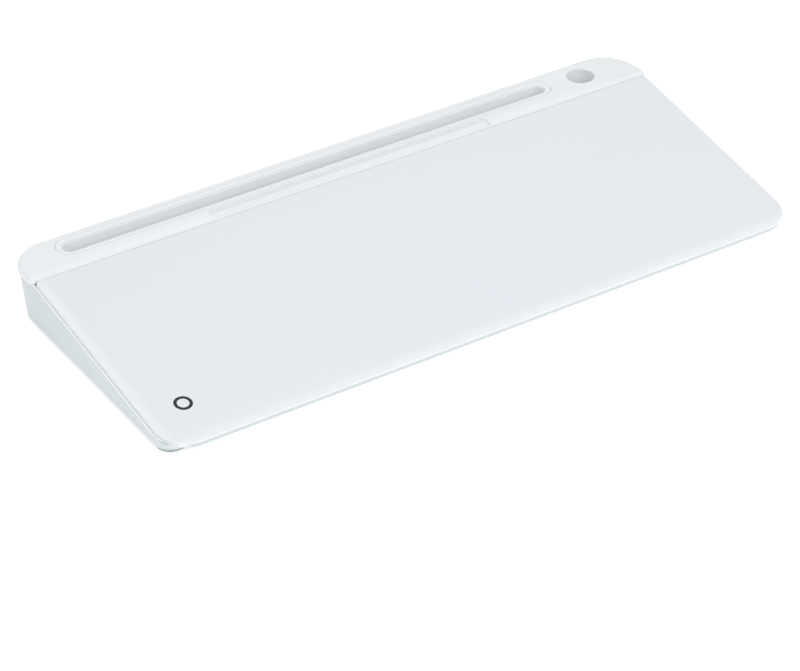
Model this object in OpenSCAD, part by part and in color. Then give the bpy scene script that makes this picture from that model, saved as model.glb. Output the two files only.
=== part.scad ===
// Desktop glass writing board: a sloped glass panel in front of a raised rail, which holds a slot for a
// tablet or phone and a round well for a pen.
// Front is -Y, up is +Z. The origin is on the surface it stands on, under the middle of the board.

/* [Board] */
// Width across the rail
board_w = 434; // [400:2:500]
// Depth from the front edge of the glass to the back of the rail
board_d = 188; // [182:1:190]
// Height of the rail above the surface
board_h = 38.5; // [38:0.5:42]
// Slope of the writing panel, in degrees
slope = 9.25; // [7:0.25:9.25]
// Depth of the rail behind the glass
rail_d = 35; // [34:0.2:36]

/* [Glass] */
// Thickness of the glass
glass_t = 4; // [3:0.5:4]
// Radius of the polished edge, above and below
glass_edge_r = 1.2; // [0.6:0.1:1.4]
// Front corner radius of the glass
glass_front_r = 20; // [10:1:24]
// Rear corner radius of the glass
glass_rear_r = 3; // [2:0.5:5]
// Gap between the glass and what surrounds it
glass_gap = 0.15; // [0.1:0.05:0.4]

/* [Rail] */
// Rear corner radius of the rail
rail_corner_r = 24; // [16:1:28]
// How far the rail stands above the rear edge of the glass
lip_rise = 1.1; // [1:0.1:1.8]
// Depth of the rolled front of the rail's lip
lip_w = 9; // [6:0.5:10]
// Length of the device slot, end to end
slot_len = 337; // [150:1:340]
// Width of the device slot below its rounded mouth
slot_w = 9.6; // [8:0.2:10]
// Depth of the device slot
slot_depth = 14; // [8:0.5:16]
// Sideways place of the middle of the slot
slot_x = -17; // [-17.5:0.5:-10]
// Radius of the pen well
well_r = 8.7; // [6:0.1:9]
// Depth of the pen well
well_depth = 28; // [15:0.5:28]
// Width of the scoop in the lip in front of the slot
scoop_w = 196; // [60:2:240]

/* [Housing] */
// Wall thickness of the mouldings
wall = 2.2; // [1.8:0.1:2.4]
// How far the sides lean in, from rim to base
side_lean = 3.8; // [3:0.2:6]
// How far the base is set back under the front edge
front_lean = 12.5; // [9:0.5:14]
// How far the base is set in under the back of the rail
rear_lean = 2.4; // [1.6:0.2:2.6]
// Height of the rubber feet
foot_h = 1.2; // [0.8:0.1:2]

/* [Hidden] */
$fn = 96;
eps = 0.01;

// Glass and the layers under it, as depths below the top face of the glass
backing_t = 0.3;
tape_t = 0.8;
deck_t = 2.4;
backing_n = glass_t + backing_t;
deck_n = backing_n + tape_t;
deck_under_n = deck_n + deck_t;

// Plan: the glass fills the front, the rail the back
rail_half = board_w / 2;
cap_over = 0.9;
rim_half = rail_half - cap_over;
rim_t = 1.2;
glass_half = rim_half - rim_t - glass_gap;
rail_y0 = board_d / 2 - rail_d;
rail_y1 = board_d / 2;
glass_y0 = -board_d / 2 - glass_edge_r * (cos(slope) + sin(slope) - 1);
glass_len = (rail_y0 - glass_gap - glass_y0) / cos(slope);
glass_front_z = board_h - lip_rise - glass_len * sin(slope);

// Rail cap and lip
cap_h = 3.4;
cap_z = board_h - cap_h;
cap_edge_r = 2.8;
cap_front_r = 3.2;
lip_drop = 1.5;
lip_r = (lip_w * lip_w + lip_drop * lip_drop) / (2 * lip_drop);
scoop_x = 1.5;
scoop_floor_d = 7.5;
scoop_slope_d = 10;
scoop_depth = lip_drop + 0.1;
scoop_corner_r = 5;

// Device slot: trough, flange and the pocket it drops into
slot_y = rail_y0 + 20.3;
slot_r = slot_w / 2;
slot_half = slot_len / 2 - slot_r;
mouth_r = 1.8;
tray_wall = 1.6;
tray_floor = 1.6;
flange_w = 4;
flange_t = 1.2;
fit_gap = 0.25;
pocket_wall = 1.8;
tray_z0 = board_h - slot_depth - tray_floor;
grip_t = 1.2;

// Pen well
well_x = 179.2 * board_w / 434;
well_y = rail_y0 + 18.8;
well_wall = 2;
well_mouth_r = 0.8;

// Tub
base_half = rim_half - side_lean;
base_y0 = -board_d / 2 + front_lean;
base_y1 = rail_y1 - rear_lean;
base_front_r = 9.5;
base_rear_r = 19;
base_edge_r = 2;
rim_n = 1.8;
rim_front_s = 0.8;
floor_z = foot_h + wall;
foot_inset = 0.5;

// Screws, from below: positions are [x, y, height at which the two mouldings meet]
screw_r = 1.5;
screw_len = 8;
head_r = 2.8;
head_h = 2.1;
grip_len = 2.4;
post_r = 3.6;
boss_r = 4.6;
front_row_y = -58;
rear_row_y = rail_y0 + 6;
front_join_z = 6;
rear_join_z = 10;
front_xs = [for (k = [-1.5 : 1 : 1.5]) k * board_w * 0.23];
rear_xs = [for (k = [-2 : 1 : 2]) k * board_w * 0.225];
screws = concat(
    [for (x = front_xs) [x, front_row_y, front_join_z]],
    [for (x = rear_xs) [x, rear_row_y, rear_join_z]]
);

// ---------- frames and outlines ----------

// Places children in the panel's own frame: X across, Y up the slope, Z out of the glass
module on_slope(depth = 0) {
    translate([0, glass_y0, glass_front_z])
        rotate([slope, 0, 0])
            translate([0, 0, -depth])
                children();
}

// Rectangle about x = 0 with front radius r0 and rear radius r1
module outline(half_w, y0, y1, r0, r1) {
    translate([-half_w, y0 + r0]) square([2 * half_w, y1 - y0 - r0 - r1]);
    translate([-half_w + r0, y0]) square([2 * (half_w - r0), r0]);
    translate([-half_w + r1, y1 - r1]) square([2 * (half_w - r1), r1]);
    for (s = [-1, 1]) {
        translate([s * (half_w - r0), y0 + r0]) circle(r0);
        translate([s * (half_w - r1), y1 - r1]) circle(r1);
    }
}

// Half section of a plate edge: r wide, h high, rounded above and below at its outer end
module edge_profile(r, h, top_r, bottom_r) {
    square([r - max(top_r, bottom_r), h]);
    if (h > top_r + bottom_r)
        translate([0, bottom_r]) square([r, h - top_r - bottom_r]);
    translate([r - top_r, h - top_r])
        intersection() {
            circle(top_r);
            square(top_r + 1);
        }
    if (bottom_r > 0)
        translate([r - bottom_r, bottom_r])
            intersection() {
                circle(bottom_r);
                translate([0, -bottom_r - 1]) square(bottom_r + 1);
            }
}

// Plate with rounded corners and rounded edges
module edged_plate(half_w, y0, y1, r0, r1, h, top_r, bottom_r = 0) {
    m = min(r0, r1);
    translate([-(half_w - m), y0 + r0, 0])
        cube([2 * (half_w - m), y1 - y0 - r0 - r1, h]);
    translate([-(half_w - r1), y1 - r1, 0])
        rotate([90, 0, 90])
            linear_extrude(2 * (half_w - r1)) edge_profile(r1, h, top_r, bottom_r);
    translate([half_w - r0, y0 + r0, 0])
        rotate([90, 0, -90])
            linear_extrude(2 * (half_w - r0)) edge_profile(r0, h, top_r, bottom_r);
    for (flip = [0, 1]) mirror([flip, 0, 0]) {
        translate([half_w - m, y1 - r1, 0])
            rotate([90, 0, 0])
                linear_extrude(y1 - y0 - r0 - r1) edge_profile(m, h, top_r, bottom_r);
        translate([half_w - r1, y1 - r1, 0])
            rotate_extrude(angle = 90) edge_profile(r1, h, top_r, bottom_r);
        translate([half_w - r0, y0 + r0, 0])
            rotate([0, 0, -90])
                rotate_extrude(angle = 90) edge_profile(r0, h, top_r, bottom_r);
    }
}

// Stadium along X, centred on the device slot
module slot_outline(r) {
    translate([slot_x - slot_half, slot_y - r]) square([2 * slot_half, 2 * r]);
    for (s = [-1, 1])
        translate([slot_x + s * slot_half, slot_y]) circle(r);
}

module slot_prism(r, z0, z1) {
    translate([0, 0, z0]) linear_extrude(z1 - z0) slot_outline(r);
}

// Section of a hole's rounded mouth, measured from the hole's axis, with its top at y = 0
module mouth_profile(r, round_r) {
    difference() {
        translate([0, -round_r]) square([r + round_r, round_r + 1]);
        translate([r + round_r, -round_r]) circle(round_r);
        translate([r, -round_r - 1]) square([round_r + 1, 1]);
    }
}

// Removes the rounded mouth of the device slot
module slot_mouth() {
    translate([slot_x, slot_y, board_h]) {
        translate([slot_half, 0, 0])
            rotate([0, 0, -90])
                rotate_extrude(angle = 180) mouth_profile(slot_r, mouth_r);
        translate([-slot_half, 0, 0])
            rotate([0, 0, 90])
                rotate_extrude(angle = 180) mouth_profile(slot_r, mouth_r);
        for (turn = [0, 180])
            rotate([0, 0, turn])
                translate([-slot_half, 0, 0])
                    rotate([90, 0, 90])
                        linear_extrude(2 * slot_half) mouth_profile(slot_r, mouth_r);
    }
}

// Shallow scoop across the lip, in front of the slot: a level floor and a slope up to the slot
module scoop() {
    intersection() {
        translate([-rail_half, 0, 0])
            rotate([90, 0, 90])
                linear_extrude(2 * rail_half)
                    polygon([
                        [rail_y0 - 3, board_h - scoop_depth],
                        [rail_y0 + scoop_floor_d, board_h - scoop_depth],
                        [rail_y0 + scoop_slope_d, board_h],
                        [rail_y0 + scoop_slope_d, board_h + 1],
                        [rail_y0 - 3, board_h + 1]
                    ]);
        translate([scoop_x, 0, board_h - 5])
            linear_extrude(10)
                outline(scoop_w / 2, rail_y0 - 10, rail_y0 + scoop_slope_d + 1, 1, scoop_corner_r);
    }
}

// Space taken by the glass and its layers, open above
module glass_space(depth) {
    on_slope(depth)
        linear_extrude(depth + 10)
            outline(glass_half + glass_gap, -glass_gap, glass_len + glass_gap, glass_front_r + glass_gap, eps);
}

// ---------- glass and what bonds it ----------

module glass_panel() {
    color([0.93, 0.96, 0.97])
        on_slope(glass_t)
            edged_plate(glass_half, 0, glass_len, glass_front_r, glass_rear_r, glass_t, glass_edge_r, glass_edge_r);
}

module glass_backing() {
    inset = 2.2;
    color([0.96, 0.97, 0.98])
        on_slope(backing_n)
            linear_extrude(backing_t)
                outline(glass_half - inset, inset, glass_len - inset, glass_front_r - inset, 2);
}

// Foam tape on the deck: centre x, first and last distance up the slope, and width
module tape(x, s0, s1, w) {
    color([0.85, 0.85, 0.84])
        on_slope(deck_n)
            translate([x - w / 2, s0, 0]) cube([w, s1 - s0, tape_t]);
}

tape_w = 10;
tape_half = base_half - 8;
tape_first = 16;
tape_last = glass_len - 4;

module tape_front() { tape(0, tape_first, tape_first + tape_w, 2 * tape_half - 12); }
module tape_rear() { tape(0, tape_last - tape_w, tape_last, 2 * tape_half); }
module tape_middle() { tape(0, glass_len / 2, glass_len / 2 + tape_w, 2 * (tape_half - tape_w) - 4); }
module tape_left() { tape(-tape_half + tape_w / 2, tape_first + 14, tape_last - 14, tape_w); }
module tape_right() { tape(tape_half - tape_w / 2, tape_first + 14, tape_last - 14, tape_w); }

// ---------- upper housing ----------

// Outer form of the rail: rounded edges, and a front that rolls down to the glass
module rail_form() {
    intersection() {
        translate([0, 0, cap_z])
            edged_plate(rail_half, rail_y0, rail_y1, cap_front_r, rail_corner_r, cap_h, cap_edge_r);
        translate([-rail_half - 1, 0, 0])
            rotate([90, 0, 90])
                linear_extrude(board_w + 2) {
                    translate([rail_y0 + lip_w, 0]) square([rail_d, board_h + 1]);
                    translate([rail_y0 - 1, 0]) square([lip_w + 1 + eps, board_h - lip_drop - 1]);
                    intersection() {
                        translate([rail_y0 - 1, board_h - lip_drop - 2]) square([lip_w + 1 + eps, lip_drop + 2]);
                        translate([rail_y0 + lip_w, board_h - lip_r]) circle(lip_r);
                    }
                }
    }
}

module rail_hollow() {
    translate([0, 0, cap_z - 1])
        linear_extrude(cap_h - wall + 1)
            outline(rail_half - wall, rail_y0 + wall, rail_y1 - wall, 2, rail_corner_r - wall);
}

// Lip inside the tub's wall that keeps the two mouldings in line
module locating_lip() {
    lip_half = rail_half - cap_over - wall - 1.2;
    lip_y1 = rail_y1 - cap_over - wall - 1.3;
    lip_t = 1.6;
    translate([0, 0, cap_z - 3])
        linear_extrude(cap_h - wall + 3)
            difference() {
                outline(lip_half, rail_y0 + wall, lip_y1, 1, rail_corner_r - 4);
                outline(lip_half - lip_t, rail_y0, lip_y1 - lip_t, 1, rail_corner_r - 4 - lip_t);
            }
}

deck_half = base_half - 1.35;
deck_s0 = front_lean;

module deck() {
    on_slope(deck_under_n)
        linear_extrude(deck_t + 0.2)
            outline(deck_half, deck_s0, glass_len + wall, 8, 1);
    // wall from the deck up into the rail
    deck_under_z = board_h - lip_rise - deck_under_n / cos(slope);
    riser_half = deck_half - 0.5;
    translate([-riser_half, rail_y0, deck_under_z - 0.3])
        cube([2 * riser_half, wall, board_h - lip_drop - 0.2 - deck_under_z]);
}

// Ribs under the deck, and pillars that stand on the tub's floor under the middle of the panel
module deck_ribs() {
    rib_t = 1.5;
    rib_h = 3.5;
    rib_s0 = 60;
    for (k = [-2.5 : 1 : 2.5])
        on_slope(deck_under_n + rib_h)
            translate([k * deck_half / 3.2 - rib_t / 2, rib_s0, 0])
                cube([rib_t, glass_len - rib_s0, rib_h + eps]);
    on_slope(deck_under_n + rib_h)
        translate([-deck_half + 12, glass_len * 0.66, 0])
            cube([2 * deck_half - 24, rib_t, rib_h + eps]);
}

pillar_y = 6;
pillar_r = 3;

module deck_pillars() {
    top_z = glass_front_z + (pillar_y - glass_y0) * tan(slope) - deck_under_n;
    for (x = front_xs)
        translate([x, pillar_y, floor_z + fit_gap]) cylinder(h = top_z - floor_z, r = pillar_r);
}

module screw_posts() {
    for (p = screws) {
        under_z = (p[1] < 0)
            ? glass_front_z + (p[1] - glass_y0) * tan(slope) - deck_under_n
            : board_h - wall + eps;
        translate([p[0], p[1], p[2]]) cylinder(h = under_z - p[2], r = post_r);
    }
}

module pen_well_tube() {
    translate([well_x, well_y, board_h - well_depth - well_wall])
        cylinder(h = well_depth + well_wall - 1, r = well_r + well_wall);
}

module pen_well_bore() {
    translate([well_x, well_y, board_h - well_depth]) cylinder(h = well_depth + 1, r = well_r);
    translate([well_x, well_y, board_h])
        rotate_extrude() mouth_profile(well_r, well_mouth_r);
}

module upper_housing() {
    pocket_r = slot_r + tray_wall + fit_gap;
    lip_backing_d = scoop_slope_d + 5;
    color([0.95, 0.97, 0.97])
        difference() {
            union() {
                difference() {
                    rail_form();
                    rail_hollow();
                }
                translate([-deck_half, rail_y0 + 1, board_h - scoop_depth - 1.8])
                    cube([2 * deck_half, lip_backing_d, 1.8]);
                locating_lip();
                deck();
                deck_ribs();
                deck_pillars();
                screw_posts();
                pen_well_tube();
                slot_prism(pocket_r + pocket_wall, tray_z0 + 3, board_h - wall + eps);
            }
            glass_space(deck_n);
            slot_prism(pocket_r, tray_z0, board_h + 1);
            slot_prism(slot_r + flange_w + fit_gap, board_h - flange_t - 0.05, board_h + 1);
            pen_well_bore();
            scoop();
            for (p = screws)
                translate([p[0], p[1], p[2] - 1]) cylinder(h = 1 + screw_len - grip_len + 0.3, r = screw_r);
        }
}

// ---------- trough for the device ----------

module device_tray() {
    color([0.93, 0.95, 0.96])
        difference() {
            union() {
                slot_prism(slot_r + flange_w, board_h - flange_t, board_h);
                slot_prism(slot_r + tray_wall, tray_z0, board_h - flange_t);
            }
            slot_prism(slot_r, tray_z0 + tray_floor, board_h + 1);
            slot_mouth();
            scoop();
        }
}

module tray_grip_strip() {
    grip_inset = 1;
    color([0.8, 0.82, 0.83])
        translate([0, 0, tray_z0 + tray_floor])
            linear_extrude(grip_t)
                slot_outline(slot_r - grip_inset);
}

// ---------- lower housing ----------

// Solid form of the tub: base with a rounded lower edge, sloped rim beside the glass, and level rim
// under the rail
module tub_form(inset, z0, lift, round_r) {
    hull() {
        for (a = [0 : 22.5 : 90]) {
            ring = inset + round_r * (1 - sin(a));
            translate([0, 0, z0 + round_r * (1 - cos(a))])
                linear_extrude(eps)
                    outline(base_half - ring, base_y0 + ring + inset * 0.6, base_y1 - ring,
                            base_front_r - ring, base_rear_r - ring);
        }
        on_slope(rim_n - lift + eps)
            linear_extrude(eps)
                outline(rim_half - inset, rim_front_s + inset, glass_len - 1, glass_front_r - inset, 1);
        translate([0, 0, cap_z - eps + lift])
            linear_extrude(eps)
                outline(rail_half - cap_over - inset, rail_y0, rail_y1 - cap_over - inset,
                        1, rail_corner_r - cap_over - inset);
    }
}

module floor_ribs() {
    rib_t = 1.5;
    rib_h = 3;
    for (y = [-28, 34])
        translate([-base_half + 12, y, floor_z - eps]) cube([2 * base_half - 24, rib_t, rib_h]);
    for (k = [-2 : 1 : 2])
        translate([k * base_half * 0.3, -28, floor_z - eps]) cube([rib_t, 62, rib_h]);
}

module lower_housing() {
    color([0.9, 0.93, 0.94])
        difference() {
            union() {
                difference() {
                    tub_form(0, foot_h, 0, base_edge_r);
                    tub_form(wall, floor_z, 2, base_edge_r / 2);
                }
                floor_ribs();
                for (p = screws)
                    translate([p[0], p[1], foot_h]) cylinder(h = p[2] - foot_h, r = boss_r);
            }
            // room for the rail and for the glass
            translate([-rail_half - 1, rail_y0 - 0.3, cap_z]) cube([board_w + 2, rail_d + 2, cap_h + 2]);
            glass_space(backing_n + 0.1);
            for (p = screws) {
                translate([p[0], p[1], 0]) cylinder(h = p[2] + 1, r = screw_r + 0.2);
                translate([p[0], p[1], 0]) cylinder(h = p[2] - grip_len, r = head_r + 0.4);
            }
            for (f = pads)
                pad(f, 0.15, foot_h + foot_inset);
        }
}

// ---------- feet and screws ----------

// Rubber pads let into the base: [centre x, centre y, length, width]
pad_w = 9;
pads = [
    [0, base_y0 + 9, 60, pad_w],
    [-base_half + 34, base_y1 - 14, 36, pad_w],
    [base_half - 34, base_y1 - 14, 36, pad_w],
    [0, base_y1 - 14, 60, pad_w]
];

module pad(f, grow, h) {
    r = f[3] / 2 + grow;
    half = f[2] / 2 - f[3] / 2;
    translate([f[0] - half, f[1] - r, 0]) cube([2 * half, 2 * r, h]);
    for (s = [-1, 1])
        translate([f[0] + s * half, f[1], 0]) cylinder(h = h, r = r);
}

module rubber_pad(f) {
    color([0.2, 0.2, 0.21]) pad(f, 0, foot_h + foot_inset);
}

// Front corner pads follow the corner of the base
module corner_pad() {
    corner_len = 34;
    corner_w = 10;
    inset = base_edge_r * 0.8;
    color([0.2, 0.2, 0.21])
        linear_extrude(foot_h)
            intersection() {
                outline(base_half - inset, base_y0 + inset, 0, base_front_r - inset, 1);
                translate([-base_half, base_y0]) square([corner_len, corner_w]);
            }
}

module foot_front_left() { corner_pad(); }
module foot_front_right() { mirror([1, 0, 0]) corner_pad(); }
module foot_front_middle() { rubber_pad(pads[0]); }
module foot_rear_left() { rubber_pad(pads[1]); }
module foot_rear_right() { rubber_pad(pads[2]); }
module foot_rear_middle() { rubber_pad(pads[3]); }

// One pan-head screw with a cross recess, its head's seat at z = 0
module screw() {
    recess_w = 0.8;
    recess_h = 1.1;
    difference() {
        union() {
            translate([0, 0, -head_h + 0.7]) cylinder(h = head_h - 0.7, r = head_r);
            translate([0, 0, -head_h]) cylinder(h = 0.7, r1 = head_r - 0.7, r2 = head_r);
            cylinder(h = screw_len - 1.2, r = screw_r);
            translate([0, 0, screw_len - 1.2]) cylinder(h = 1.2, r1 = screw_r, r2 = 0.6);
        }
        for (turn = [0, 90])
            rotate([0, 0, turn])
                translate([-1.5, -recess_w / 2, -head_h - 1]) cube([3, recess_w, recess_h + 1]);
    }
}

module housing_screws() {
    color([0.6, 0.6, 0.62])
        for (p = screws)
            translate([p[0], p[1], p[2] - grip_len]) screw();
}

glass_panel();
glass_backing();
tape_front();
tape_rear();
tape_left();
tape_right();
tape_middle();
upper_housing();
device_tray();
tray_grip_strip();
lower_housing();
foot_front_left();
foot_front_right();
foot_front_middle();
foot_rear_left();
foot_rear_right();
foot_rear_middle();
housing_screws();
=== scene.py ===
import math

import bmesh
import bpy
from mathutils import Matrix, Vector


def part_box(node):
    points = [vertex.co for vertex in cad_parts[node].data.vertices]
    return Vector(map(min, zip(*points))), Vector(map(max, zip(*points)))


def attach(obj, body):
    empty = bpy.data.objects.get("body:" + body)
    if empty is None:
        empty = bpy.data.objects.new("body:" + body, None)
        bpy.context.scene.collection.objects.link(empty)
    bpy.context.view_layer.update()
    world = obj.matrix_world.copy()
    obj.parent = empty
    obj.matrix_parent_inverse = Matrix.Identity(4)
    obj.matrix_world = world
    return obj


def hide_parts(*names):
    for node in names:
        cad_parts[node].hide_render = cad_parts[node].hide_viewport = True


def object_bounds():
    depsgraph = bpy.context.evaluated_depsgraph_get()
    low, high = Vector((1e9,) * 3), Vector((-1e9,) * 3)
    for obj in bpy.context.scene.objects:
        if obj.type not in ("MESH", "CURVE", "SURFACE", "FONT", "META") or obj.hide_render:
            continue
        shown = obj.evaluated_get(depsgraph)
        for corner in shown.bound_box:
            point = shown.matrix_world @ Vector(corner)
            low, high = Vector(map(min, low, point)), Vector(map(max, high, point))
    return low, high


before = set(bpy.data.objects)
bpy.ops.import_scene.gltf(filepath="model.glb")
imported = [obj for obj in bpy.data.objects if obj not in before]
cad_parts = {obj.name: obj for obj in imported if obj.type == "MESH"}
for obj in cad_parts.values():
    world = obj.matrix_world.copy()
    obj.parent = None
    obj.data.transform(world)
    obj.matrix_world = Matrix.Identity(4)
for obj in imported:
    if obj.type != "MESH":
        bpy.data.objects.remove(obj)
cad_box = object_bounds()

MM = 0.001
BODY = "root"

# ---------- places on the glass, taken from the frame ----------

glass_lo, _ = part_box("glass_panel")


def top_face():
    """Normal and one point of the glass's top face."""
    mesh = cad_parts["glass_panel"].data
    face = max((p for p in mesh.polygons if p.normal.z > 0), key=lambda p: p.area)
    return face.normal.copy(), mesh.vertices[face.vertices[0]].co.copy()


GLASS_UP, GLASS_POINT = top_face()
SLOPE = math.atan2(-GLASS_UP.y, GLASS_UP.z)


def on_glass(x, s, n=0.0):
    """Point at x across the glass, s up its slope from the front edge and n above its top face."""
    start = (glass_lo.y - GLASS_POINT.y) / math.cos(SLOPE)
    up_slope = Vector((0, math.cos(SLOPE), math.sin(SLOPE)))
    foot = Vector((0, GLASS_POINT.y, GLASS_POINT.z))
    return foot + up_slope * (start + s) + GLASS_UP * n + Vector((x, 0, 0))


# ---------- node helpers ----------

NOISE_ROUGHNESS = 0.55
CREVICE_SAMPLES = 8


class Shader:
    """One Principled material, with short calls for the nodes that feed it."""

    def __init__(self, name):
        self.material = bpy.data.materials.new(name)
        self.material.use_nodes = True
        self.nodes = self.material.node_tree.nodes
        self.links = self.material.node_tree.links
        self.base = self.nodes["Principled BSDF"]
        coordinates = self.nodes.new("ShaderNodeTexCoord")
        self.place = coordinates.outputs["Object"]
        self.normal = coordinates.outputs["Normal"]

    def constant(self, **sockets):
        for name, value in sockets.items():
            self.base.inputs[name.replace("_", " ")].default_value = value

    def link(self, output, socket):
        self.links.new(output, self.base.inputs[socket])

    def noise(self, scale, detail=3.0, stretch=(1, 1, 1)):
        mapping = self.nodes.new("ShaderNodeMapping")
        mapping.inputs["Scale"].default_value = stretch
        self.links.new(self.place, mapping.inputs["Vector"])
        texture = self.nodes.new("ShaderNodeTexNoise")
        texture.inputs["Scale"].default_value = scale
        texture.inputs["Detail"].default_value = detail
        texture.inputs["Roughness"].default_value = NOISE_ROUGHNESS
        self.links.new(mapping.outputs["Vector"], texture.inputs["Vector"])
        return texture.outputs["Fac"]

    def ramp(self, value, low, high, to_low=0, to_high=1):
        """value from low..high, brought smoothly to to_low..to_high."""
        node = self.nodes.new("ShaderNodeMapRange")
        node.interpolation_type = "SMOOTHSTEP"
        self.links.new(value, node.inputs["Value"])
        node.inputs["From Min"].default_value = low
        node.inputs["From Max"].default_value = high
        node.inputs["To Min"].default_value = to_low
        node.inputs["To Max"].default_value = to_high
        return node.outputs["Result"]

    def mix(self, factor, colour_a, colour_b):
        node = self.nodes.new("ShaderNodeMix")
        node.data_type = "RGBA"
        self.links.new(factor, node.inputs["Factor"])
        rgba = [s for s in node.inputs if s.type == "RGBA"]
        for socket, colour in zip(rgba, (colour_a, colour_b)):
            if isinstance(colour, bpy.types.NodeSocket):
                self.links.new(colour, socket)
            else:
                socket.default_value = (*colour, 1)
        return [s for s in node.outputs if s.type == "RGBA"][0]

    def maths(self, operation, *values):
        node = self.nodes.new("ShaderNodeMath")
        node.operation = operation
        for socket, value in zip(node.inputs, values):
            if isinstance(value, bpy.types.NodeSocket):
                self.links.new(value, socket)
            else:
                socket.default_value = value
        return node.outputs[0]

    def bump(self, height, depth, strength=1.0):
        node = self.nodes.new("ShaderNodeBump")
        node.inputs["Strength"].default_value = strength
        node.inputs["Distance"].default_value = depth
        self.links.new(height, node.inputs["Height"])
        self.links.new(node.outputs["Normal"], self.base.inputs["Normal"])

    def facing(self, direction):
        """1 where the surface faces direction, 0 where it is square to it."""
        node = self.nodes.new("ShaderNodeVectorMath")
        node.operation = "DOT_PRODUCT"
        self.links.new(self.normal, node.inputs[0])
        node.inputs[1].default_value = direction
        return node.outputs["Value"]

    def crevices(self, reach):
        """Close to 1 on open surfaces and lower in gaps and corners."""
        node = self.nodes.new("ShaderNodeAmbientOcclusion")
        node.inputs["Distance"].default_value = reach
        node.samples = CREVICE_SAMPLES
        node.only_local = True
        return node.outputs["AO"]


# ---------- materials ----------

LEFTWARDS = (-1, 0, 0)
FORWARDS = (0, -1, 0)
UPWARDS = (0, 0, 1)
# RECESS_REACH, RECESS_SHARE and the pale colour below set the painted light in gaps and corners
RECESS_REACH = 22 * MM
RECESS_SHARE = 0.9
RECESS_PAINTED_LIGHT = (0.955, 0.972, 0.985)
ABS_IOR = 1.53


def moulded_plastic(name, light, dark, rough, grain, top=None, front=None):
    """Injection-moulded ABS: faint flow variation, spark-eroded grain, and painted light in the recesses,
    whose colour is mixed towards a pale tone where ambient occlusion finds gaps and corners.
    top is a painted lighter tone for faces that look up, and front a painted darker shade for faces tilted
    forwards, where they differ."""
    m = Shader(name)
    flow = m.noise(14, detail=2)
    tone = m.mix(m.ramp(flow, 0.35, 0.65), dark, light)
    # painted light: faces that look up are mixed towards the lighter top tone
    if top:
        tone = m.mix(m.ramp(m.facing(UPWARDS), 0.45, 0.85), tone, top)
    # painted shade: faces tilted forwards and up are mixed towards the darker front tone
    if front:
        forwards = m.ramp(m.facing(FORWARDS), 0.2, 0.55)
        upwards = m.ramp(m.facing(UPWARDS), 0.6, 0.8)
        tone = m.mix(m.maths("MULTIPLY", forwards, upwards), tone, front)
    # painted light: gaps and corners found by ambient occlusion are mixed towards a pale colour
    recess = m.ramp(m.crevices(RECESS_REACH), 0.15, 0.75, RECESS_SHARE, 0)
    m.link(m.mix(recess, tone, RECESS_PAINTED_LIGHT), "Base Color")
    fine = m.noise(2600, detail=2)
    handled = m.noise(45, detail=4)
    m.link(m.maths("ADD", m.ramp(handled, 0.4, 0.7, rough, rough + 0.06),
                   m.ramp(fine, 0.3, 0.7, -0.02, 0.02)), "Roughness")
    m.bump(fine, grain)
    m.constant(IOR=ABS_IOR)
    return m.material


GLASS_FIELD = (0.760, 0.795, 0.818)
GLASS_CLOUD = (0.762, 0.788, 0.832)
# painted light: the paler colour of the left and front borders
GLASS_BORDER_PAINTED_LIGHT = (0.81, 0.85, 0.87)
# edge faces: partly the glass's own edge tint, partly painted shade
GLASS_EDGE_TINT_AND_SHADE = (0.56, 0.60, 0.61)
GLASS_IOR = 1.52
GLASS_COAT_IOR = 1.5
# where the painted border light starts, ends and rounds the corner
BORDER_FROM = 1.5 * MM
BORDER_TO = 8.5 * MM
BORDER_CORNER = 6 * MM


def back_painted_glass(name):
    """Clear glass over white enamel, with faint wiping marks: painted light along the left and front
    borders, and edge faces darker, partly the glass's own edge tint and partly painted shade.
    """
    m = Shader(name)
    split = m.nodes.new("ShaderNodeSeparateXYZ")
    m.links.new(m.place, split.inputs["Vector"])
    # painted light: a paler band along the left and front borders only
    from_left = m.maths("SUBTRACT", split.outputs["X"], glass_lo.x)
    from_front = m.maths("SUBTRACT", split.outputs["Y"], glass_lo.y)
    inside = m.maths("SMOOTH_MIN", from_left, from_front, BORDER_CORNER)
    painted_border_light = m.ramp(inside, BORDER_FROM, BORDER_TO, 1, 0)
    cloud = m.ramp(m.noise(5.5, detail=1), 0.42, 0.68)
    field = m.mix(cloud, GLASS_FIELD, GLASS_CLOUD)
    face = m.mix(painted_border_light, field, GLASS_BORDER_PAINTED_LIGHT)
    # edge faces darker, partly the glass's own edge tint and partly painted shade; faces that look left keep
    # the face colour
    edge = m.ramp(m.facing(GLASS_UP), 0.0, 0.5, 1, 0)
    not_left = m.ramp(m.facing(LEFTWARDS), 0.2, 0.6, 1, 0)
    m.link(m.mix(m.maths("MULTIPLY", edge, not_left), face, GLASS_EDGE_TINT_AND_SHADE), "Base Color")
    wiped = m.noise(10, detail=5, stretch=(1, 3.2, 1))
    m.link(m.ramp(wiped, 0.45, 0.75, 0.045, 0.11), "Roughness")
    m.bump(m.noise(16, detail=1), 0.02 * MM, 0.3)
    m.constant(IOR=GLASS_IOR, Coat_Weight=0.35, Coat_Roughness=0.02, Coat_IOR=GLASS_COAT_IOR)
    return m.material


def rubber(name, colour, worn, grain):
    """Soft moulded rubber, matt, with paler worn patches."""
    m = Shader(name)
    patches = m.ramp(m.noise(60, detail=5), 0.4, 0.7)
    m.link(m.mix(patches, colour, worn), "Base Color")
    m.link(m.ramp(m.noise(300, detail=3), 0.3, 0.7, 0.62, 0.82), "Roughness")
    m.bump(m.noise(1800, detail=4), grain)
    m.constant(IOR=1.5, Specular_IOR_Level=0.35)
    return m.material


ZINC = (0.66, 0.67, 0.69)
DULL_ZINC = (0.52, 0.53, 0.56)


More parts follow.
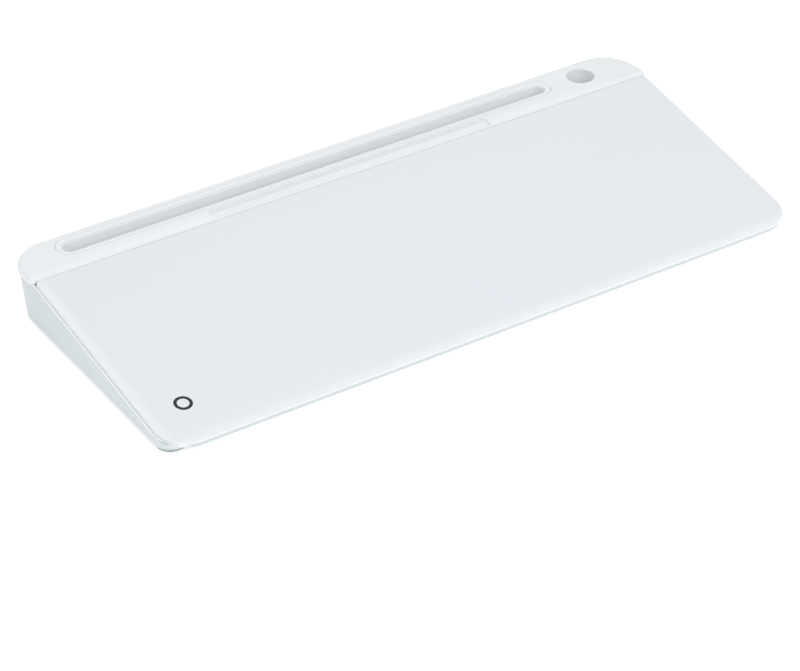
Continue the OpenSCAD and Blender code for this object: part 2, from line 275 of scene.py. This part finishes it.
def zinc(name):
    """Bright zinc plate, with faint turning marks and duller patches."""
    m = Shader(name)
    patches = m.ramp(m.noise(400, detail=4), 0.35, 0.7)
    m.link(m.mix(patches, ZINC, DULL_ZINC), "Base Color")
    m.link(m.ramp(m.noise(900, detail=4), 0.3, 0.7, 0.24, 0.42), "Roughness")
    m.bump(m.noise(3000, detail=2), 0.01 * MM)
    m.constant(Metallic=1.0)
    return m.material


FOAM_PORE = (0.62, 0.62, 0.60)
FOAM_WALL = (0.78, 0.78, 0.76)


def foam(name):
    """White foam, finely celled."""
    m = Shader(name)
    cells = m.noise(1400, detail=2)
    m.link(m.mix(m.ramp(cells, 0.35, 0.65), FOAM_PORE, FOAM_WALL), "Base Color")
    m.link(m.ramp(cells, 0.3, 0.7, 0.8, 0.95), "Roughness")
    m.bump(cells, 0.08 * MM)
    return m.material


ENAMEL = (0.80, 0.82, 0.83)
THIN_ENAMEL = (0.76, 0.79, 0.80)


def enamel(name):
    """White layer fired on the back of the glass, a little uneven in thickness."""
    m = Shader(name)
    m.link(m.mix(m.ramp(m.noise(30), 0.4, 0.6), ENAMEL, THIN_ENAMEL), "Base Color")
    m.link(m.ramp(m.noise(200), 0.3, 0.7, 0.3, 0.4), "Roughness")
    m.bump(m.noise(900), 0.01 * MM)
    return m.material


INK = (0.010, 0.010, 0.012)
THIN_INK = (0.022, 0.022, 0.024)


def ink(name):
    """Black screen-printing ink."""
    m = Shader(name)
    m.link(m.mix(m.ramp(m.noise(700), 0.35, 0.65), INK, THIN_INK), "Base Color")
    m.link(m.ramp(m.noise(1500), 0.3, 0.7, 0.35, 0.5), "Roughness")
    m.bump(m.noise(4000, detail=2), 0.002 * MM)
    return m.material


# Material of each slot in the record
MATERIALS = {
    "glass": back_painted_glass("back_painted_glass"),
    "white_enamel": enamel("white_enamel_back"),
    "foam_tape": foam("foam_tape_cells"),
    # white_shell: faces tilted forwards get a painted darker shade
    "white_shell": moulded_plastic("white_abs_satin", (0.835, 0.862, 0.872), (0.82, 0.85, 0.862),
                                   rough=0.36, grain=0.012 * MM, front=(0.70, 0.74, 0.76)),
    # white_tub: a darker base tone as painted shade on the walls, and a lighter tone painted on faces that
    # look up
    "white_tub": moulded_plastic("white_abs_grained", (0.635, 0.685, 0.70), (0.62, 0.672, 0.69),
                                 rough=0.46, grain=0.03 * MM, top=(0.84, 0.875, 0.885)),
    "grip_strip": rubber("grey_silicone", (0.50, 0.52, 0.53), (0.56, 0.58, 0.585), 0.02 * MM),
    "rubber_pad": rubber("grey_rubber", (0.400, 0.405, 0.410), (0.450, 0.455, 0.460), 0.04 * MM),
    "zinc_screw": zinc("zinc_plate"),
}


# ---------- CAD nodes that stay ----------

CORNER_MERGE = 0.002 * MM


def smoothing_group(angle):
    """Geometry nodes that join split corners and shade smoothly across edges flatter than angle."""
    group = bpy.data.node_groups.new("smooth_by_angle", "GeometryNodeTree")
    group.interface.new_socket("Geometry", in_out="INPUT", socket_type="NodeSocketGeometry")
    group.interface.new_socket("Geometry", in_out="OUTPUT", socket_type="NodeSocketGeometry")
    nodes, links = group.nodes, group.links
    source = nodes.new("NodeGroupInput")
    result = nodes.new("NodeGroupOutput")
    drop = nodes.new("GeometryNodeRemoveAttribute")
    drop.inputs["Name"].default_value = "custom_normal"
    join = nodes.new("GeometryNodeMergeByDistance")
    join.inputs["Distance"].default_value = CORNER_MERGE
    faces = nodes.new("GeometryNodeSetShadeSmooth")
    faces.domain = "FACE"
    edges = nodes.new("GeometryNodeSetShadeSmooth")
    edges.domain = "EDGE"
    edges.inputs["Shade Smooth"].default_value = False
    bend = nodes.new("GeometryNodeInputMeshEdgeAngle")
    sharp = nodes.new("FunctionNodeCompare")
    sharp.data_type = "FLOAT"
    sharp.operation = "GREATER_THAN"
    sharp.inputs["B"].default_value = angle
    links.new(source.outputs[0], drop.inputs["Geometry"])
    links.new(drop.outputs["Geometry"], join.inputs["Geometry"])
    links.new(join.outputs["Geometry"], faces.inputs["Geometry"])
    links.new(faces.outputs["Geometry"], edges.inputs["Geometry"])
    links.new(bend.outputs["Unsigned Angle"], sharp.inputs["A"])
    links.new(sharp.outputs["Result"], edges.inputs["Selection"])
    links.new(edges.outputs["Geometry"], result.inputs[0])
    return group


SMOOTHING = smoothing_group(math.radians(32))
MOULDED_EDGE_ANGLE = math.radians(40)
EDGE_RADII = {
    "upper_housing": 0.15 * MM,
    "device_tray": 0.15 * MM,
    "foot_front_left": 0.25 * MM,
    "foot_front_right": 0.25 * MM,
}


def dress_cad_node(name, edge_radius):
    """Gives a CAD node its material, smooth shading and small moulded edge radii."""
    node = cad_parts[name]
    for slot in node.material_slots:
        slot.material = MATERIALS[slot.material.name]
    smooth = node.modifiers.new("smooth", "NODES")
    smooth.node_group = SMOOTHING
    if edge_radius:
        bevel = node.modifiers.new("moulded_edges", "BEVEL")
        bevel.width = edge_radius
        bevel.segments = 2
        bevel.limit_method = "ANGLE"
        bevel.angle_limit = MOULDED_EDGE_ANGLE
        bevel.harden_normals = True
        bevel.use_clamp_overlap = True


# ---------- mesh helpers ----------

def closed_loft(name, rings):
    """Mesh through rings of equal length, closed by a face at each end."""
    mesh = bpy.data.meshes.new(name)
    count = len(rings[0])
    points = [point for ring in rings for point in ring]
    faces = []
    for row in range(len(rings) - 1):
        for k in range(count):
            n = (k + 1) % count
            low, high = row * count, (row + 1) * count
            faces.append((low + k, low + n, high + n, high + k))
    faces.append(tuple(reversed(range(count))))
    faces.append(tuple(range(len(points) - count, len(points))))
    mesh.from_pydata([tuple(point) for point in points], [], faces)
    return mesh


def circle_ring(radius, z, steps=48):
    """Circle round the Z axis."""
    turns = [2 * math.pi * k / steps for k in range(steps)]
    return [Vector((radius * math.cos(turn), radius * math.sin(turn), z)) for turn in turns]


def stadium_ring(centre, half, radius, z, steps=16):
    """Outline of two half circles, half apart on each side of the centre along X."""
    ring = []
    for side in (1, -1):
        for k in range(steps + 1):
            turn = math.pi * (k / steps - side / 2)
            ring.append(Vector((centre[0] + side * half + radius * math.cos(turn),
                                centre[1] + radius * math.sin(turn), z)))
    return ring


def boxes_mesh(name, boxes):
    """One mesh of plain boxes, each given by its lowest and highest corner."""
    build = bmesh.new()
    for low, high in boxes:
        made = bmesh.ops.create_cube(build, size=1.0)["verts"]
        size = Vector(high) - Vector(low)
        middle = (Vector(high) + Vector(low)) / 2
        for vertex in made:
            vertex.co = middle + Vector(a * b for a, b in zip(vertex.co, size))
    mesh = bpy.data.meshes.new(name)
    build.to_mesh(mesh)
    build.free()
    return mesh


def carved(mesh, cutter_mesh):
    """mesh with the cutter taken out of it."""
    collection = bpy.context.scene.collection
    body = bpy.data.objects.new("carve_body", mesh)
    cutter = bpy.data.objects.new("carve_cutter", cutter_mesh)
    collection.objects.link(body)
    collection.objects.link(cutter)
    modifier = body.modifiers.new("carve", "BOOLEAN")
    modifier.operation = "DIFFERENCE"
    modifier.solver = "EXACT"
    modifier.use_self = True
    modifier.object = cutter
    depsgraph = bpy.context.evaluated_depsgraph_get()
    result = bpy.data.meshes.new_from_object(body.evaluated_get(depsgraph))
    bpy.data.objects.remove(body)
    bpy.data.objects.remove(cutter)
    return result


def copies(name, mesh, offsets):
    """One mesh that holds a copy of mesh at each offset."""
    build = bmesh.new()
    for offset in offsets:
        first = len(build.verts)
        build.from_mesh(mesh)
        build.verts.ensure_lookup_table()
        for vertex in build.verts[first:]:
            vertex.co += offset
    result = bpy.data.meshes.new(name)
    build.to_mesh(result)
    build.free()
    return result


def turn_faces_out(mesh):
    """Turns every face so that it looks out of the solid."""
    build = bmesh.new()
    build.from_mesh(mesh)
    bmesh.ops.recalc_face_normals(build, faces=build.faces)
    build.to_mesh(mesh)
    build.free()


def add_piece(name, mesh, material, slot_name, *replaced):
    """Puts a piece on the body, in the place of the CAD nodes that it replaces."""
    turn_faces_out(mesh)
    piece = bpy.data.objects.new(name, mesh)
    bpy.context.scene.collection.objects.link(piece)
    mesh.materials.clear()
    mesh.materials.append(material)
    smooth = piece.modifiers.new("smooth", "NODES")
    smooth.node_group = SMOOTHING
    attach(piece, BODY)
    if replaced:
        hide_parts(*replaced)


# ---------- screws ----------

BOARD_WIDTH = cad_box[1][0] - cad_box[0][0]
FRONT_SCREW_STEP = 0.23 * BOARD_WIDTH
REAR_SCREW_STEP = 0.225 * BOARD_WIDTH
FRONT_SCREW_Y = -58 * MM
REAR_SCREW_Y = 65 * MM
FRONT_SEAT_Z = 3.6 * MM
REAR_SEAT_Z = 7.6 * MM
HEAD_RADIUS = 2.8 * MM
HEAD_HEIGHT = 2.1 * MM
HEAD_CROWN = 0.25
HEAD_DOME = 0.55
HEAD_CHAMFER = 0.1 * MM
SHANK_RADIUS = 1.5 * MM
SHANK_LENGTH = 8 * MM
SHANK_TIP = 1.3 * MM
TIP_RADIUS = 0.3 * MM
THREADS = 8
THREAD_ROOT = SHANK_RADIUS * 0.8


def screw_mesh():
    """Pan-head screw, seat at z = 0 and head below it: domed head, tapered cross recess, threaded shank."""
    rings = [circle_ring(HEAD_RADIUS * HEAD_CROWN, -HEAD_HEIGHT)]
    dome_steps = 8
    for k in range(1, dome_steps + 1):
        turn = math.pi / 2 * k / dome_steps
        radius = HEAD_RADIUS * (HEAD_CROWN + (1 - HEAD_CROWN) * math.sin(turn))
        rings.append(circle_ring(radius, HEAD_HEIGHT * (HEAD_DOME * (1 - math.cos(turn)) - 1)))
    rings.append(circle_ring(HEAD_RADIUS, -HEAD_CHAMFER))
    rings.append(circle_ring(HEAD_RADIUS - HEAD_CHAMFER, 0))
    rings.append(circle_ring(THREAD_ROOT, 0))
    pitch = (SHANK_LENGTH - SHANK_TIP) / THREADS
    for k in range(THREADS):
        rings.append(circle_ring(THREAD_ROOT, (k + 0.35) * pitch))
        rings.append(circle_ring(SHANK_RADIUS, (k + 0.6) * pitch))
        rings.append(circle_ring(THREAD_ROOT, (k + 0.85) * pitch))
    rings.append(circle_ring(TIP_RADIUS, SHANK_LENGTH))
    return carved(closed_loft("screw_blank", rings), cross_recess())


def cross_recess():
    """Two crossed slots that narrow towards their floor."""
    half_length = 1.5 * MM
    half_width = 0.42 * MM
    start_z = -HEAD_HEIGHT - 0.5 * MM
    floor_z = -HEAD_HEIGHT + 1.25 * MM
    build = bmesh.new()
    for turn in (0, 1):
        corners = []
        for z, scale in ((start_z, 1.15), (floor_z, 0.55)):
            for x, y in ((-1, -1), (1, -1), (1, 1), (-1, 1)):
                across = x * half_length * scale
                along = y * half_width * scale
                corners.append(build.verts.new((along, across, z) if turn else (across, along, z)))
        for face in ((3, 2, 1, 0), (4, 5, 6, 7), (0, 1, 5, 4), (1, 2, 6, 5), (2, 3, 7, 6), (3, 0, 4, 7)):
            build.faces.new([corners[i] for i in face])
    bmesh.ops.recalc_face_normals(build, faces=build.faces)
    mesh = bpy.data.meshes.new("cross_recess")
    build.to_mesh(mesh)
    build.free()
    return mesh


def make_screws():
    """Four screws in a row at the front and five at the rear."""
    front = [(k * FRONT_SCREW_STEP, FRONT_SCREW_Y, FRONT_SEAT_Z) for k in (-1.5, -0.5, 0.5, 1.5)]
    rear = [(k * REAR_SCREW_STEP, REAR_SCREW_Y, REAR_SEAT_Z) for k in (-2, -1, 0, 1, 2)]
    places = [Vector(place) for place in front + rear]
    mesh = copies("pan_head_screws", screw_mesh(), places)
    add_piece("pan_head_screws", mesh, MATERIALS["zinc_screw"], "zinc_screw", "housing_screws")


# ---------- rubber pads and the grip strip ----------

PAD_EDGE_RADIUS = 0.35 * MM
GROOVE_PITCH = 3 * MM
GROOVE_WIDTH = 0.8 * MM
GROOVE_DEPTH = 0.4 * MM
RIDGES = 5
RIDGE_HEIGHT = 0.3 * MM


def pad_mesh(low, high):
    """Stadium pad with a rounded foot, and grooves across the face that grips the desk."""
    radius = (high.y - low.y) / 2
    half = (high.x - low.x) / 2 - radius
    centre = ((low.x + high.x) / 2, (low.y + high.y) / 2)
    edge = PAD_EDGE_RADIUS
    edge_steps = 4
    rings = []
    for k in range(edge_steps + 1):
        turn = math.pi / 2 * k / edge_steps
        rings.append(stadium_ring(centre, half, radius - edge * (1 - math.sin(turn)),
                                  low.z + edge * (1 - math.cos(turn))))
    rings.append(stadium_ring(centre, half, radius, high.z))
    count = int(2 * half / GROOVE_PITCH)
    grooves = []
    for k in range(count + 1):
        x = centre[0] + (k - count / 2) * GROOVE_PITCH
        grooves.append(((x - GROOVE_WIDTH / 2, low.y - edge, low.z - edge),
                        (x + GROOVE_WIDTH / 2, high.y + edge, low.z + GROOVE_DEPTH)))
    return carved(closed_loft("pad_blank", rings), boxes_mesh("pad_grooves", grooves))


def make_pads():
    """The pads that are plain stadiums; the two shaped front ones stay as CAD nodes."""
    for name in ("foot_front_middle", "foot_rear_left", "foot_rear_right", "foot_rear_middle"):
        low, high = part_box(name)
        piece_name = name.replace("foot", "grooved_pad")
        add_piece(piece_name, pad_mesh(low, high), MATERIALS["rubber_pad"], "rubber_pad", name)


def make_grip_strip():
    """Soft strip on the floor of the trough, with ridges along it."""
    low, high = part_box("tray_grip_strip")
    radius = (high.y - low.y) / 2
    middle_y = (low.y + high.y) / 2
    across = 60
    end_steps = 10
    blunt_end = 0.02 * MM
    inset = [radius * (1 - math.cos(math.pi / 2 * k / end_steps)) + blunt_end for k in range(end_steps)]
    stations = [low.x + i for i in inset]
    stations += [low.x + radius, high.x - radius]
    stations += [high.x - i for i in reversed(inset)]
    rings = []
    for x in stations:
        from_end = min(x - low.x, high.x - x, radius)
        half = math.sqrt(max(radius ** 2 - (radius - from_end) ** 2, 0))
        ring = [Vector((x, middle_y + half, low.z)), Vector((x, middle_y - half, low.z))]
        for k in range(across + 1):
            y = -half + 2 * half * k / across
            wave = 0.5 + 0.5 * math.cos(math.pi * RIDGES * y / radius)
            ring.append(Vector((x, middle_y + y, high.z - RIDGE_HEIGHT * wave)))
        rings.append(ring)
    add_piece("ridged_grip_strip", closed_loft("ridged_grip_strip", rings), MATERIALS["grip_strip"],
              "grip_strip", "tray_grip_strip")


# ---------- printed mark ----------

MARK_FROM_SIDE = 25 * MM
MARK_FROM_FRONT = 30 * MM
MARK_RADIUS = 5.4 * MM
MARK_LINE = 1.9 * MM
MARK_STEPS = 72
INK_HEIGHT = 0.03 * MM
INK_DEPTH = 0.01 * MM


def make_mark():
    """A plain printed ring near the front left corner of the glass."""
    profile = ((MARK_RADIUS - MARK_LINE, -INK_DEPTH), (MARK_RADIUS, -INK_DEPTH),
               (MARK_RADIUS, INK_HEIGHT), (MARK_RADIUS - MARK_LINE, INK_HEIGHT))
    points = []
    faces = []
    for k in range(MARK_STEPS):
        turn = 2 * math.pi * k / MARK_STEPS
        for radius, height in profile:
            points.append(on_glass(glass_lo.x + MARK_FROM_SIDE + radius * math.cos(turn),
                                   MARK_FROM_FRONT + radius * math.sin(turn), height))
        here = len(profile) * k
        there = len(profile) * ((k + 1) % MARK_STEPS)
        for i in range(len(profile)):
            j = (i + 1) % len(profile)
            faces.append((here + i, here + j, there + j, there + i))
    mesh = bpy.data.meshes.new("printed_ring")
    mesh.from_pydata([tuple(point) for point in points], [], faces)
    add_piece("printed_ring", mesh, ink("black_screen_ink"), "rubber_pad")


# ---------- camera, floor and light ----------

CAMERA_AIM = Vector((-58.5, -80.2, 21.85)) * MM
CAMERA_AZIMUTH = math.radians(-33.15)
CAMERA_ELEVATION = math.radians(34.53)
CAMERA_DISTANCE = 1.803
CAMERA_LENS = 144.7


def make_camera():
    """Camera that looks at the aim from its azimuth and elevation."""
    a, e = CAMERA_AZIMUTH, CAMERA_ELEVATION
    back = Vector((math.sin(a) * math.cos(e), -math.cos(a) * math.cos(e), math.sin(e)))
    data = bpy.data.cameras.new("camera")
    data.sensor_width = 36
    data.lens = CAMERA_LENS
    camera = bpy.data.objects.new("camera", data)
    camera.location = CAMERA_AIM + back * CAMERA_DISTANCE
    camera.rotation_euler = (-back).to_track_quat("-Z", "Y").to_euler()
    bpy.context.scene.collection.objects.link(camera)
    bpy.context.scene.camera = camera


FLOOR_GLOW = 0.35
FLOOR_REACH = 6.0
FLOOR_TONES = ((0.93, 0.93, 0.93), (0.945, 0.945, 0.945))
HORIZON = (0.80, 0.82, 0.84, 1)
OVERHEAD = (1.0, 1.0, 1.0, 1)
ROOM_STRENGTH = 0.72


def make_floor():
    """A lit white table, which glows a little so that the shadow on it stays soft and pale."""
    reach = FLOOR_REACH
    mesh = bpy.data.meshes.new("floor")
    corners = [(-reach, -reach, 0), (reach, -reach, 0), (reach, reach, 0), (-reach, reach, 0)]
    mesh.from_pydata(corners, [], [(0, 1, 2, 3)])
    floor = bpy.data.objects.new("floor", mesh)
    bpy.context.scene.collection.objects.link(floor)
    m = Shader("pale_floor")
    m.link(m.mix(m.noise(3), *FLOOR_TONES), "Base Color")
    m.constant(Roughness=0.8, Specular_IOR_Level=0.2)
    m.constant(Emission_Color=(1, 1, 1, 1), Emission_Strength=FLOOR_GLOW)
    mesh.materials.append(m.material)


def make_area_light(name, place, size, power):
    """Square softbox that faces the board's middle, unseen in reflections."""
    data = bpy.data.lights.new(name, "AREA")
    data.shape = "SQUARE"
    data.size = size
    data.energy = power
    light = bpy.data.objects.new(name, data)
    light.location = place
    light.rotation_euler = (-Vector(place)).to_track_quat("-Z", "Y").to_euler()
    light.visible_glossy = False
    bpy.context.scene.collection.objects.link(light)


def make_world():
    """A pale room, bright overhead and a little darker towards the horizon."""
    world = bpy.data.worlds.new("studio")
    world.use_nodes = True
    nodes, links = world.node_tree.nodes, world.node_tree.links
    background = nodes["Background"]
    place = nodes.new("ShaderNodeTexCoord")
    split = nodes.new("ShaderNodeSeparateXYZ")
    links.new(place.outputs["Generated"], split.inputs["Vector"])
    height = nodes.new("ShaderNodeMapRange")
    height.inputs["From Min"].default_value = 0.0
    height.inputs["From Max"].default_value = 0.8
    links.new(split.outputs["Z"], height.inputs["Value"])
    ramp = nodes.new("ShaderNodeMix")
    ramp.data_type = "RGBA"
    links.new(height.outputs["Result"], ramp.inputs["Factor"])
    rgba = [s for s in ramp.inputs if s.type == "RGBA"]
    rgba[0].default_value = HORIZON
    rgba[1].default_value = OVERHEAD
    links.new([s for s in ramp.outputs if s.type == "RGBA"][0], background.inputs["Color"])
    background.inputs["Strength"].default_value = ROOM_STRENGTH
    bpy.context.scene.world = world


def make_light():
    make_area_light("front_softbox", (0.25, -1.7, 1.5), size=1.6, power=16)
    make_area_light("overhead_softbox", (-0.4, 0.5, 2.2), size=1.8, power=10)


make_screws()
make_pads()
make_grip_strip()
make_mark()
make_camera()
make_floor()
make_world()
make_light()
bpy.context.scene.view_settings.view_transform = "Standard"

for cad_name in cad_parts:
    dress_cad_node(cad_name, EDGE_RADII.get(cad_name, 0))
